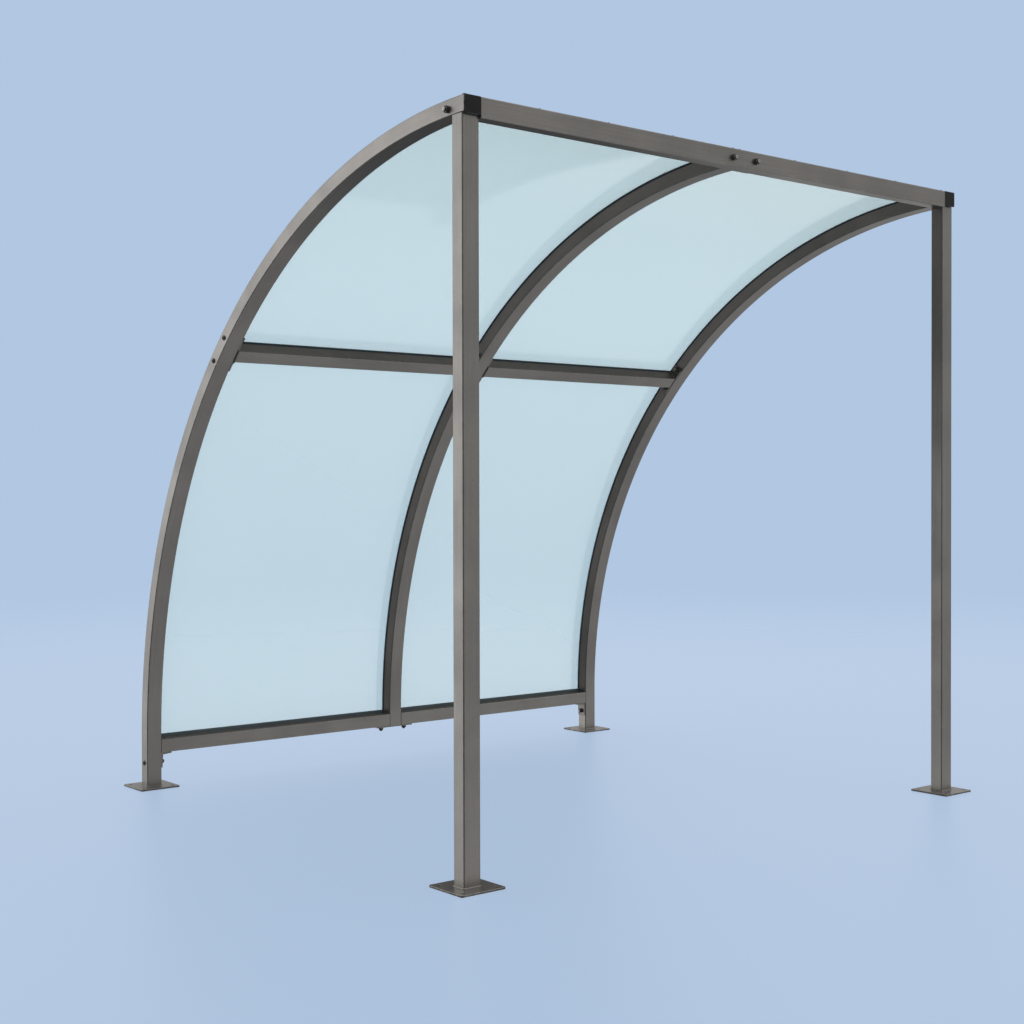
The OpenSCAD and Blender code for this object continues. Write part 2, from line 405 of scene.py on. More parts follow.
tube_coat = coated_steel(
    "tube coat",
    shade=(0.178, 0.170, 0.160, 1.0),
    cloud_shade=(0.158, 0.152, 0.144, 1.0),
    rubbed=(0.26, 0.25, 0.235, 1.0),
    roughness=0.28,
    drawn=0.14,
)
tube_outline = rounded_outline(TUBE_WIDE, TUBE_DEEP, TUBE_CORNER)
X, Y, Z = np.eye(3)


def between(low, high, spacing=0.08, trim=0.003):
    """Evenly spaced places from low to high, with one more just inside each end."""
    steps = max(1, round((high - low) / spacing))
    inner = np.linspace(low + trim, high - trim, steps + 1)
    return np.concatenate([[low], inner, [high]])


for hand in ("left", "right"):
    low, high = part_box("front_post_" + hand)
    middle = (low + high) / 2
    height = between(low.z, high.z)
    path = np.stack([np.full_like(height, middle.x), np.full_like(height, middle.y), height], 1)
    post = carried(*tube_outline, path, X, Y)
    make_piece("post_" + hand, post, tube_coat, ["front_post_" + hand])


# ---------------------------------------------------------------- ribs
# Three lengths of the same tube bent to a quarter circle, with the lower end left
# straight. The side ribs end in caps; the middle one is cut short of the beam.

RIB_R = 1.980
low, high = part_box("rib_left")
ARC_Y = high.y - RIB_R
ARC_Z = 0.185
MID_R = RIB_R - TUBE_DEEP / 2


def around(angle, radius, x):
    """Points on the ribs' curve: (x, ARC_Y + radius cos a, ARC_Z + radius sin a)."""
    angle = np.atleast_1d(angle)
    return np.stack(
        [
            np.full_like(angle, x, dtype=float),
            ARC_Y + radius * np.cos(angle),
            ARC_Z + radius * np.sin(angle),
        ],
        -1,
    )


def outward(angle):
    """Direction away from the centre of the ribs' curve: (0, cos a, sin a)."""
    angle = np.atleast_1d(angle)
    return np.stack([np.zeros_like(angle), np.cos(angle), np.sin(angle)], -1)


def up_and_over(radius, x, foot_z, last_angle, first_angle=0.0, facet=0.9):
    """Path that runs straight up from foot_z, then round the curve to last_angle.

    Returns the points and, at each, the direction away from the curve's centre.
    With no foot_z the path starts on the curve, at first_angle.
    """
    steps = int(np.ceil(np.degrees(last_angle - first_angle) / facet))
    trim = 0.003 / radius
    angle = np.linspace(first_angle, last_angle, steps + 1)
    angle = np.sort(np.concatenate([angle, [last_angle - trim, first_angle + trim]]))
    path, out = around(angle, radius, x), outward(angle)
    if foot_z is not None:
        height = between(foot_z, ARC_Z, 0.05)[:-1]
        foot = np.stack(
            [np.full_like(height, x), np.full_like(height, ARC_Y + radius), height], 1
        )
        path = np.concatenate([foot, path])
        out = np.concatenate([np.tile(Y, (len(foot), 1)), out])
    return path, out


for hand in ("left", "right"):
    low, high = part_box("rib_" + hand)
    end = math.acos((low.y - ARC_Y) / RIB_R)
    path, out = up_and_over(MID_R, (low.x + high.x) / 2, low.z, end)
    rib = carried(*tube_outline, path, X, out)
    make_piece("rib_tube_" + hand, rib, tube_coat, ["rib_" + hand])

# The middle rib's end is cut upright, flat against the head plate: each point of
# its last ring is moved along the tube until it is on that plane.
low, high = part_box("rib_middle")
cut_y = low.y
end = math.acos((cut_y - ARC_Y) / MID_R)
path, out = up_and_over(MID_R, 0.0, low.z, end)
points, faces, run, near = carried(*tube_outline, path, X, out)
ring = len(tube_outline[0])
points = points.reshape(-1, ring, 3)
last = points[-1]
gone = (last[:, 1] - cut_y) / math.sin(end)
points[-1] = last + gone[:, None] * np.array([0, -math.sin(end), math.cos(end)])
points[-2] = points[-1] + (points[-3] - points[-1]) * 0.15
make_piece(
    "rib_tube_middle",
    (points.reshape(-1, 3), faces, run, near),
    tube_coat,
    ["rib_middle"],
)


# ---------------------------------------------------------------- anchor plates
# Square steel plates with four holes for ground anchors, flame cut with round
# corners, edges broken, and coated together with the tube welded to each.

PLATE_SIDE, PLATE_THICK, PLATE_CORNER = 0.154, 0.006, 0.008
HOLE_PITCH, HOLE_R = 0.112, 0.006


def plate_quarter(side, corner, hole_x, hole_r, thick, steps=14):
    """A quarter of a holed square plate, from its middle to one corner.

    The quarter's border is walked once from the plate's middle. The face is the
    straight line from each border point b to the hole's rim at centre + hole_r *
    (b - centre) / |b - centre|, in four steps; the hole's wall and the plate's own
    outer wall drop from there. Both faces and both walls come as one shape.
    """
    half = side / 2
    along = np.linspace(0, half - corner, steps)
    arc = np.linspace(0, np.pi / 2, 7)[1:-1]
    border = np.concatenate(
        [
            np.stack([np.linspace(0, half, steps)[:-1], np.zeros(steps - 1)], 1),
            np.stack([np.full(steps, half), along], 1),
            half - corner + corner * np.stack([np.cos(arc), np.sin(arc)], 1),
            np.stack([along[::-1], np.full(steps, half)], 1),
            np.stack([np.zeros(steps - 2), np.linspace(half, 0, steps)[1:-1]], 1),
        ]
    )
    centre = np.array([hole_x, hole_x])
    reach = border - centre
    rim = centre + hole_r * reach / np.linalg.norm(reach, axis=1)[:, None]
    share = np.array([0, 0.12, 0.45, 1.0])[:, None, None]
    face = rim + share * (border - rim)
    count, size = len(share), len(border)
    top = np.concatenate([face, np.full((count, size, 1), thick)], -1)
    foot = np.concatenate([face, np.zeros((count, size, 1))], -1)
    i, j = np.meshgrid(np.arange(count - 1), np.arange(size), indexing="ij")
    on = (j + 1) % size
    quads = np.stack(
        [i * size + j, i * size + on, (i + 1) * size + on, (i + 1) * size + j], -1
    ).reshape(-1, 4)
    under = quads + count * size
    j = np.arange(size)
    on = (j + 1) % size
    hole = np.stack([j, on, on + count * size, j + count * size], -1)
    edge = (count - 1) * size
    outside = (border.max(1) > half - 1e-6) | (border.min(1) > half - corner)
    outside = outside & outside[on]
    wall = np.stack([j, on, on + count * size, j + count * size], -1)[outside] + edge
    faces = np.concatenate([quads, under, hole, wall])
    rub = np.zeros((2, count, size))
    rub[:, 0] = 0.6
    rub[:, -1] = np.where(border.max(1) > half - 1e-6, 1, 0)
    points = np.concatenate([top.reshape(-1, 3), foot.reshape(-1, 3)])
    return points, faces.tolist(), points[faces.ravel()][:, :2], rub.ravel()


def mirrored(shape, signs):
    """A shape turned over in the axes whose sign is -1."""
    points, faces, run, near = shape
    return points * np.array(signs), faces, run, near


def moved(shape, offset):
    """A shape set down somewhere else."""
    points, faces, run, near = shape
    return points + np.array(offset), faces, run, near


def weld_bead(outline, base_z, size, ripples):
    """Fillet weld laid once round a tube where it stands on a plate.

    The outline is the weld's path. Across it the bead is a round of radius size
    about the tube's foot, and size swells and sinks by an eighth with each ripple:
    r = size * (1 + |sin(ripples * a / 2)| / 8) at the share a of the way round.
    """
    path = outline
    ahead = np.roll(path, -1, 0) - np.roll(path, 1, 0)
    out = np.stack([ahead[:, 1], -ahead[:, 0]], 1)
    out = out / np.linalg.norm(out, axis=1)[:, None]
    share = np.linspace(0, 2 * np.pi, len(path), endpoint=False)
    reach = size * (1 + np.abs(np.sin(ripples * share / 2)) / 8 - 0.06)
    turn = np.linspace(0, 2 * np.pi, 12, endpoint=False)
    flat = path[:, None] + out[:, None] * (reach[:, None] * np.cos(turn))[..., None]
    lift = base_z + reach[:, None] * np.sin(turn) * 0.9
    rings = np.concatenate([flat, np.broadcast_to(lift, flat.shape[:2])[..., None]], -1)
    return skin(rings, 0.35, hoop=True)


def evenly(outline, count):
    """Points at even distances along a closed outline."""
    closed = np.concatenate([outline, outline[:1]])
    step = np.linalg.norm(np.diff(closed, axis=0), axis=1)
    far = np.concatenate([[0], np.cumsum(step)])
    want = np.linspace(0, far[-1], count, endpoint=False)
    return np.stack([np.interp(want, far, closed[:, k]) for k in (0, 1)], 1)


plate_coat = coated_steel(
    "plate coat",
    shade=(0.235, 0.225, 0.21, 1.0),
    cloud_shade=(0.205, 0.197, 0.186, 1.0),
    rubbed=(0.36, 0.345, 0.325, 1.0),
    roughness=0.25,
    # painted shade on the plate's upright edges, darker than its top
    cut=(0.05, 0.048, 0.045, 1.0),
)
weld_path = evenly(rounded_outline(TUBE_WIDE, TUBE_DEEP, TUBE_CORNER)[0], 220)
quarter = plate_quarter(PLATE_SIDE, PLATE_CORNER, HOLE_PITCH / 2, HOLE_R, PLATE_THICK)
whole = gathered([mirrored(quarter, (a, b, 1)) for a in (1, -1) for b in (1, -1)])
for hand in ("front_left", "front_right", "rear_left", "rear_right"):
    low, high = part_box("base_plate_" + hand)
    middle = (low + high) / 2
    plate = make_piece(
        "anchor_plate_" + hand,
        moved(whole, (middle.x, middle.y, 0)),
        plate_coat,
        ["base_plate_" + hand],
    )
    shell = bmesh.new()
    shell.from_mesh(plate.data)
    bmesh.ops.remove_doubles(shell, verts=shell.verts, dist=1e-6)
    bmesh.ops.recalc_face_normals(shell, faces=shell.faces)
    shell.to_mesh(plate.data)
    shell.free()
    plate.data.set_sharp_from_angle(angle=math.radians(32))
    broken = plate.modifiers.new("broken edges", "BEVEL")
    broken.width, broken.segments = 0.0008, 2
    broken.limit_method, broken.angle_limit = "ANGLE", math.radians(50)
    plate.modifiers.move(1, 0)
    bead = weld_bead(weld_path, PLATE_THICK, 0.003, 72)
    make_piece(
        "foot_weld_" + hand,
        moved(bead, (middle.x, middle.y, 0)),
        tube_coat,
        crease=80,
    )


# ---------------------------------------------------------------- front beam
# The same tube lying on its narrow side between the side ribs, at the height of
# their ends.


def level_bar(outline, node, trim=0.003):
    """A bar along X that fills a node's box, its wide side upright."""
    low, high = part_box(node)
    middle = (low + high) / 2
    x = between(low.x, high.x, trim=trim)
    path = np.stack([x, np.full_like(x, middle.y), np.full_like(x, middle.z)], 1)
    return carried(*outline, path, Z, Y)


make_piece(
    "beam_tube", level_bar(tube_outline, "front_beam"), tube_coat, ["front_beam"]
)


# ---------------------------------------------------------------- end caps
# Black moulded plastic lids pressed into the open ends of the side ribs, with a
# rounded rim and a fine spark-eroded grain.


def slab(wide, deep, corner, thick, edge, across, up, foot, steps=5):
    """Flat plate with round corners and rounded edges.

    Ring k is the plate's outline drawn in by edge * (1 - cos t) at the height
    edge * (1 - sin t) from each face, for t from 0 to a right angle. across and up
    are the plate's own axes, and foot is the middle of its lower face, from which
    the plate grows along across x up.
    """
    turn = np.linspace(0, np.pi / 2, 4)
    inset = edge * (1 - np.sin(turn))
    level = edge * (1 - np.cos(turn))
    inset = np.concatenate([[SHOULDER], inset, inset[::-1], [SHOULDER]])
    level = np.concatenate([[0], level, thick - level[::-1], [thick]])
    near = np.concatenate([[0], np.ones(2 * len(turn)), [0]])
    normal = np.cross(across, up)
    rings = []
    for draw, lift in zip(inset, level):
        outline, _ = rounded_outline(
            wide - 2 * draw, deep - 2 * draw, max(corner - draw, 0.0004), steps, 0.0
        )
        rings.append(
            np.array(foot)
            + outline[:, :1] * across
            + outline[:, 1:] * up
            + lift * normal
        )
    return skin(np.array(rings), near[:, None])


cap_plastic, nodes, shader = new_finish("cap plastic", 0.0)
grain = use_group(
    nodes,
    coat_cloud,
    Shade=(0.008, 0.0077, 0.0074, 1.0),
    Cloud_Shade=(0.011, 0.0105, 0.010, 1.0),
    Cloud_Scale=18.0,
    Fleck_Scale=1400.0,
    Roughness=0.42,
)
worn = use_group(
    nodes, edge_rub, Color=grain["Color"], Rubbed_Color=(0.09, 0.09, 0.088, 1.0), Amount=0.5
)
dusty = use_group(nodes, settled_dust, Color=worn["Color"], Amount=0.2)
nodes.put(shader.inputs["Base Color"], dusty["Color"])
nodes.put(shader.inputs["Roughness"], grain["Roughness"])
shader.inputs["Specular IOR Level"].default_value = 0.12
bump = nodes.add("Bump", Strength=0.4, Distance=0.0002, Height=grain["Height"])
nodes.put(shader.inputs["Normal"], bump.outputs[0])
for hand in ("left", "right"):
    low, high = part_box("rib_cap_" + hand)
    size = high - low
    cap = slab(
        size.x, size.z, TUBE_CORNER, size.y, 0.0012, X, Z,
        ((low.x + high.x) / 2, high.y, (low.z + high.z) / 2),
    )
    make_piece("end_cap_" + hand, cap, cap_plastic, ["rib_cap_" + hand])


# ---------------------------------------------------------------- beam fixings
# A flat head plate bolted across behind the beam takes the middle rib;
# cut lengths of steel angle, welded to the beam, take the bolts of the side ribs.

fixing_coat = coated_steel(
    "fixing coat",
    shade=(0.15, 0.143, 0.135, 1.0),
    cloud_shade=(0.13, 0.125, 0.12, 1.0),
    rubbed=(0.24, 0.23, 0.22, 1.0),
    roughness=0.34,
)
low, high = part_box("rib_head_plate")
size = high - low
head_plate = slab(
    size.x, size.z, 0.005, size.y, 0.0008, X, Z, (0, high.y, (low.z + high.z) / 2)
)
make_piece("head_plate", head_plate, fixing_coat, ["rib_head_plate"])


def angle_outline(long_leg, short_leg, thick, heel=0.003, throat=0.003, toe=0.001):
    """Cross-section of rolled steel angle, with its outer corner at the origin.

    The legs run along +x and +y. The outer corner (heel), the inner one (throat)
    and the legs' tips (toe) are arcs: centre + radius * (cos a, sin a).
    """
    turn = np.linspace(0, np.pi / 2, 5)

    def arc(x, y, radius, start):
        a = start + turn
        return np.stack([x + radius * np.cos(a), y + radius * np.sin(a)], 1)

    t, h = toe, throat
    points = np.concatenate(
        [
            arc(heel, heel, heel, np.pi),
            arc(long_leg - t, t, t, -np.pi / 2),
            arc(long_leg - t, thick - t, t, 0.0),
            arc(thick + h, thick + h, h, -np.pi / 2)[::-1],
            arc(thick - t, short_leg - t, t, 0.0),
            arc(t, short_leg - t, t, np.pi / 2),
        ]
    )
    return points, np.ones(len(points))


for hand, sign in (("left", -1), ("right", 1)):
    low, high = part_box("beam_bracket_" + hand)
    corner_x = low.x if sign < 0 else high.x
    size = high - low
    outline, near = angle_outline(size.x, size.y, 0.005)
    height = between(low.z, high.z, 0.05, 0.001)
    path = np.stack(
        [np.full_like(height, corner_x), np.full_like(height, low.y), height], 1
    )
    bracket = carried(outline, near * 0.5, path, -sign * X, Y)
    make_piece(
        "corner_angle_" + hand, bracket, fixing_coat, ["beam_bracket_" + hand]
    )


# ---------------------------------------------------------------- purlins
# A length of slightly smaller tube half way round each bay, its sides turned with
# the curve, welded between two end plates that are bolted to the ribs.

CROSS_WIDE = 0.050
cross_outline = rounded_outline(CROSS_WIDE, TUBE_DEEP, TUBE_CORNER)
PURLIN_ANGLE = math.radians(45)
END_PLATE = 0.138
PURLIN_R = MID_R - 0.0005
out = outward(PURLIN_ANGLE)[0]
tangent = np.cross(X, out)
seat = around(PURLIN_ANGLE, PURLIN_R, 0.0)[0]
purlin_bead = weld_bead(evenly(cross_outline[0], 200), 0.0, 0.003, 66)
for hand in ("left", "right"):
    low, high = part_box("purlin_" + hand)
    x = between(low.x, high.x)
    tube = carried(*cross_outline, seat + x[:, None] * X, tangent, out)
    make_piece("purlin_tube_" + hand, tube, tube_coat, ["purlin_" + hand])
    for place in ("outer", "inner"):
        node = f"purlin_plate_{hand}_{place}"
        low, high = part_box(node)
        plate = slab(
            TUBE_DEEP - 0.004, END_PLATE, 0.005, high.x - low.x, 0.0008, out, tangent,
            seat + low.x * X,
        )
        make_piece(
            f"purlin_end_{hand}_{place}", plate, fixing_coat, [node]
        )
        foot_x = high.x if low.x < x[0] else low.x
        ring, faces, run, near = purlin_bead
        bead = seat + ring[:, :1] * tangent + ring[:, 1:2] * out
        bead = bead + (foot_x + ring[:, 2:]) * X
        make_piece(
            f"purlin_weld_{hand}_{place}",
            (bead, faces, run, near),
            tube_coat,
            crease=80,
        )


# ---------------------------------------------------------------- bottom rails
# The purlins' tube again, level near the ground between the ribs' straight feet. At
# the outside each rests on a steel angle, in the middle both rest on a flat strap.

for hand, sign in (("left", -1), ("right", 1)):
    rail = level_bar(cross_outline, "bottom_rail_" + hand)
    make_piece("rail_tube_" + hand, rail, tube_coat, ["bottom_rail_" + hand])
    low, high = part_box("rail_bracket_" + hand)
    corner_x = low.x if sign < 0 else high.x
    size = high - low
    outline, near = angle_outline(size.x, size.z, 0.005)
    y = between(low.y, high.y, 0.05, 0.001)
    path = np.stack([np.full_like(y, corner_x), y, np.full_like(y, high.z)], 1)
    bracket = carried(outline, near * 0.5, path, -sign * X, -Z)
    make_piece(
        "rail_angle_" + hand, bracket, fixing_coat, ["rail_bracket_" + hand]
    )
low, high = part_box("rib_foot_strap")
size = high - low
strap = slab(
    size.x, size.y, 0.004, size.z, 0.0008, X, Y, (0, (low.y + high.y) / 2, low.z)
)
make_piece("foot_strap", strap, fixing_coat, ["rib_foot_strap"])


# ---------------------------------------------------------------- bolts and nuts
# Blackened M12 bolts through the tubes: plain washer and hexagon nut with the
# cut end of the thread standing out, or a low round head with a socket.


def turned(profile, steps=32, flats=None):
    """Part turned on a lathe about Z: ring k is (r cos a, r sin a, z) for the pair
    (r, z) of the profile. With flats, a ring reaches no further out than a hexagon
    with that distance across its flats: r(a) = min(r, flats / (2 cos(a mod 60))).
    """
    radius, height = np.array(profile).T
    a = np.linspace(0, 2 * np.pi, steps, endpoint=False)
    reach = np.tile(radius[:, None], (1, steps))
    if flats:
        off = (a + np.pi / 6) % (np.pi / 3) - np.pi / 6
        reach = np.minimum(reach, flats / 2 / np.cos(off))
    rings = np.stack(
        [reach * np.cos(a), reach * np.sin(a), np.broadcast_to(height[:, None], reach.shape)],
        -1,
    )
    return skin(rings, 0.4)


def threaded(radius, pitch, low, high, steps=24, per_turn=6):
    """Thread cut on a bar about Z. The radius is radius - depth * |2 f - 1|, where
    f is the fraction of z / pitch - a / 360 and depth is 0.54 pitch, and it sinks
    by a depth at the top, where the end is chamfered."""
    z = np.linspace(low, high, int((high - low) / pitch * per_turn) + 1)
    a = np.linspace(0, 2 * np.pi, steps, endpoint=False)
    turn = (z[:, None] / pitch - a / (2 * np.pi)) % 1
    depth = 0.54 * pitch
    reach = radius - depth * np.abs(2 * turn - 1)
    reach = np.minimum(reach, radius - depth + (high - z[:, None]) * 1.2)
    rings = np.stack(
        [reach * np.cos(a), reach * np.sin(a), np.broadcast_to(z[:, None], reach.shape)], -1
    )
    return skin(rings, 0.3)


def stood(shape, foot, axis):
    """A shape made upright at the origin, turned so that its Z runs along axis."""
    points, faces, run, near = shape
    axis = np.array(axis, float)
    side = np.cross(axis, [0.31, 0.52, 0.79])
    side = side / np.linalg.norm(side)
    turn = np.stack([side, np.cross(axis, side), axis])
    return points @ turn + np.array(foot), faces, run, near


WASHER = turned(
    [
        (0.0064, 0.0), (0.0096, 0.0), (0.0102, 0.0004),
        (0.0102, 0.0011), (0.0097, 0.0015), (0.0064, 0.0015),
    ]
)
NUT = turned(
    [
        (0.0062, 0.0015), (0.0088, 0.0015), (0.0098, 0.0021), (0.0112, 0.0028),
        (0.0112, 0.0090), (0.0098, 0.0098), (0.0088, 0.0103), (0.0066, 0.0103), (0.0060, 0.0096),
    ],
    steps=48,
    flats=0.018,
)
THREAD = threaded(0.006, 0.00175, 0.0090, 0.0138)
# The cut face of the bolt's end, dished by the centre drill.
BOLT_END = turned(
    [
        (0.0050, 0.0136), (0.0052, 0.0143), (0.0047, 0.0150),
        (0.0026, 0.0150), (0.0021, 0.0142), (0.0008, 0.0134),
    ]
)
LOW_HEAD = turned(
    [
        (0.0086, 0.0), (0.0088, 0.0008), (0.0083, 0.0023), (0.0072, 0.0037), (0.0056, 0.0046),
        (0.0040, 0.0049), (0.0036, 0.0048), (0.0034, 0.0020), (0.0010, 0.0016),
    ],
    steps=36,
)
HEX_HEAD = turned(
    [
        (0.0090, 0.0), (0.0112, 0.0004), (0.0112, 0.0062),
        (0.0099, 0.0070), (0.0088, 0.0075), (0.0030, 0.0076),
    ],
    steps=48,
    flats=0.018,
)

bolt_black, nodes, shader = new_finish("blackened steel", 0.85)
oxide = use_group(
    nodes,
    coat_cloud,
    Shade=(0.075, 0.072, 0.068, 1.0),
    Cloud_Shade=(0.05, 0.048, 0.046, 1.0),
    Cloud_Scale=90.0,
    Fleck_Scale=900.0,
    Roughness=0.42,
)
worn = use_group(
    nodes, edge_rub, Color=oxide["Color"], Rubbed_Color=(0.22, 0.21, 0.2, 1.0),
    Amount=0.8, Patch_Scale=300.0,
)
surfaced(nodes, shader, worn["Color"], oxide["Roughness"], oxide["Height"], 0.3, 0.0002)

bolt_bare, nodes, shader = new_finish("cut bolt end", 0.9)
cut = use_group(
    nodes,
    coat_cloud,
    Shade=(0.36, 0.355, 0.34, 1.0),
    Cloud_Shade=(0.25, 0.245, 0.235, 1.0),
    Cloud_Scale=300.0,
    Fleck_Scale=2500.0,
    Roughness=0.34,
)
surfaced(nodes, shader, cut["Color"], cut["Roughness"], cut["Height"], 0.3, 0.0001)


def put_bolts(name, nut_seats, head_seats, head=LOW_HEAD):
    """Nuts and bolt ends at one set of (place, direction), heads at another."""
    dark = [
        stood(part, *seat_) for seat_ in nut_seats for part in (WASHER, NUT, THREAD)
    ]
    dark += [stood(head, *seat_) for seat_ in head_seats]
    make_piece(name, gathered(dark), bolt_black, crease=38)
    bare = [stood(BOLT_END, *seat_) for seat_ in nut_seats]
    make_piece(name + "_ends", gathered(bare), bolt_bare, crease=38)


beam_low, beam_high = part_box("front_beam")
head_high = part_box("rib_head_plate")[1]
bolt_z, corner_y = 2.135, -0.919
BEAM_PITCH, STRAP_PITCH, PLATE_PITCH, RAIL_BOLT_Z = 0.104, 0.114, 0.103, 0.090
put_bolts(
    "beam_bolts",
    [((x, beam_low.y, bolt_z), -Y) for x in (-BEAM_PITCH / 2, BEAM_PITCH / 2)],
    [((x, head_high.y, bolt_z), Y) for x in (-BEAM_PITCH / 2, BEAM_PITCH / 2)],
    HEX_HEAD,
)
FACE_X = -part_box("rib_left")[0].x
INNER_X = FACE_X - TUBE_WIDE
FIXING = 0.005
for hand, sign in (("left", -1), ("right", 1)):
    outer, inner = sign * FACE_X, sign * (INNER_X - FIXING)
    put_bolts(
        "corner_bolt_" + hand,
        [((outer, corner_y, bolt_z), sign * X)],
        [((inner, corner_y, bolt_z), -sign * X)],
        HEX_HEAD,
    )
    turns = PURLIN_ANGLE + math.radians(0.3) + np.array([-1, 1]) * PLATE_PITCH / 2 / PURLIN_R
    spots = around(turns, PURLIN_R, 0.0)
    put_bolts(
        "purlin_bolts_" + hand,
        [(spot + inner * X, -sign * X) for spot in spots],
        [(spot + outer * X, sign * X) for spot in spots],
    )
    rail_spot = np.array([0, ARC_Y + MID_R, RAIL_BOLT_Z])
    put_bolts(
        "rail_bolt_" + hand,
        [(rail_spot + inner * X, -sign * X)],
        [(rail_spot + outer * X, sign * X)],
    )
inner = TUBE_WIDE / 2 + FIXING
put_bolts(
    "middle_purlin_bolts",
    [(spot - inner * X, -X) for spot in spots],
    [(spot + inner * X, X) for spot in spots],
)
strap_low, strap_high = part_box("rib_foot_strap")
put_bolts(
    "strap_bolts",
    [((x, ARC_Y + MID_R, strap_low.z), -Z) for x in (-STRAP_PITCH / 2, STRAP_PITCH / 2)],
    [((x, ARC_Y + MID_R, strap_high.z - 0.004), Z) for x in (-STRAP_PITCH / 2, STRAP_PITCH / 2)],
)


# ---------------------------------------------------------------- rubber strips
# Flat black glazing rubber between the frame and the sheets, wider than the tubes,
# so that a thin dark line shows beside every member.

rubber, nodes, shader = new_finish("glazing rubber", 0.0)
bloom = use_group(
    nodes,
    coat_cloud,
    Shade=(0.040, 0.055, 0.061, 1.0),
    Cloud_Shade=(0.052, 0.069, 0.075, 1.0),
    Cloud_Scale=7.0,
    Fleck_Scale=1100.0,
    Roughness=0.6,
)
worn = use_group(
    nodes, edge_rub, Color=bloom["Color"], Rubbed_Color=(0.07, 0.08, 0.085, 1.0), Amount=0.4
)
surfaced(nodes, shader, worn["Color"], bloom["Roughness"], bloom["Height"], 0.5, 0.0003)

STRIP, SHEET, SHOW = 0.003, 0.005, 0.004
STRIP_R, SHEET_R = RIB_R + STRIP, RIB_R + STRIP + SHEET


def strip_piece(x0, x1, start, stop, foot_z=None):
    """Length of strip along the curve, from x0 to x1 across."""
    path, out = up_and_over(RIB_R + STRIP / 2, (x0 + x1) / 2, foot_z, stop, start)
    outline = rounded_outline(abs(x1 - x0), STRIP, 0.0007, 3, 0.0004)
    return carried(*outline, path, X, out)


def strip_across(x0, x1, start, stop):
    """Length of strip along a cross member, from one angle to another."""
    angle = np.linspace(start, stop, 7)
    x = between(min(x0, x1), max(x0, x1), 0.1, 0.001)
    lower, upper = around(angle, RIB_R, 0.0), around(angle[::-1], STRIP_R, 0.0)
    loop = np.concatenate([lower, upper])
    rings = loop[None] + x[:, None, None] * X
    return skin(rings, 0.2)


upper_low, upper_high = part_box("strips_upper_left")
edge_x, gap_x = -upper_low.x, -upper_high.x
show_out, show_in = INNER_X - SHOW, TUBE_WIDE / 2 + SHOW
half_gap = gap_x / SHEET_R
top_angle = math.acos((upper_low.y - ARC_Y) / STRIP_R)
purlin_half = (CROSS_WIDE / 2 + SHOW) / RIB_R
beam_back = math.acos((beam_high.y + SHOW - ARC_Y) / RIB_R)
rail_low, rail_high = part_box("bottom_rail_left")
rail_top = math.asin((rail_high.z + SHOW - ARC_Z) / RIB_R)
foot_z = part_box("strips_lower_left")[0].z
for hand, sign in (("left", -1), ("right", 1)):
    edge, gap, wide, narrow = (sign * v for v in (edge_x, gap_x, show_out, show_in))
    upper = [
        strip_piece(a, b, PURLIN_ANGLE + half_gap, top_angle)
        for a, b in ((edge, wide), (narrow, gap))
    ]
    upper += [
        strip_across(wide, narrow, PURLIN_ANGLE + half_gap, PURLIN_ANGLE + purlin_half),
        strip_across(wide, narrow, beam_back, top_angle),
    ]
    make_piece(
        "upper_strips_" + hand, gathered(upper), rubber, ["strips_upper_" + hand]
    )
    lower = [
        strip_piece(a, b, 0.0, PURLIN_ANGLE - half_gap, foot_z)
        for a, b in ((edge, wide), (narrow, gap))
    ]
    lower.append(
        strip_across(wide, narrow, PURLIN_ANGLE - purlin_half, PURLIN_ANGLE - half_gap)
    )
    rail_path, rail_out = up_and_over(RIB_R + STRIP / 2, (wide + narrow) / 2, foot_z, rail_top)
    rail_outline = rounded_outline(abs(wide - narrow), STRIP, 0.0007, 3, 0.0004)
    lower.append(carried(*rail_outline, rail_path, X, rail_out))
    make_piece(
        "lower_strips_" + hand, gathered(lower), rubber, ["strips_lower_" + hand]
    )


# ---------------------------------------------------------------- clear sheets
# Four cold-bent sheets of pale blue-green polycarbonate, glossy, very slightly
# milky, screwed down over the strips with a narrow gap between neighbours.

sheet_clear, nodes, shader = new_finish("clear sheet", 0.0)
place = nodes.add("TexCoord").outputs["Object"]
haze = nodes.noise(place, 1.6, 1.0, 0.4)
milky = nodes.mixed(haze, (0.82, 0.955, 0.90, 1.0), (0.85, 0.975, 0.92, 1.0))
rim = nodes.add("Attribute", {"attribute_name": "near"}).outputs["Fac"]
milky = nodes.mixed(nodes.sums("POWER", rim, 3.0), milky, (0.35, 0.62, 0.66, 1.0))
nodes.put(shader.inputs["Base Color"], milky)
nodes.put(shader.inputs["Roughness"], nodes.ranged(haze, 0.0, 1.0, 0.2, 0.26))
wave = nodes.noise(place, 3.0, 1.0, 0.4)
bump = nodes.add("Bump", Strength=0.15, Distance=0.002, Height=wave)
through = nodes.add("BsdfTranslucent", Color=milky)
passing = nodes.add("BsdfTransparent", Color=(0.96, 0.992, 0.992, 1.0))
body = nodes.add("MixShader", Fac=0.5)
nodes.put(body.inputs[1], shader.outputs[0])
nodes.put(body.inputs[2], through.outputs[0])
facing = nodes.add("LayerWeight", Blend=0.5).outputs["Facing"]
share = nodes.sums("MULTIPLY_ADD", nodes.sums("POWER", facing, 2.0), 0.3, 0.27)
share = nodes.sums("MAXIMUM", share, nodes.sums("MULTIPLY", rim, 0.8))
both = nodes.add("MixShader", Fac=share)
nodes.put(both.inputs[1], passing.outputs[0])
nodes.put(both.inputs[2], body.outputs[0])
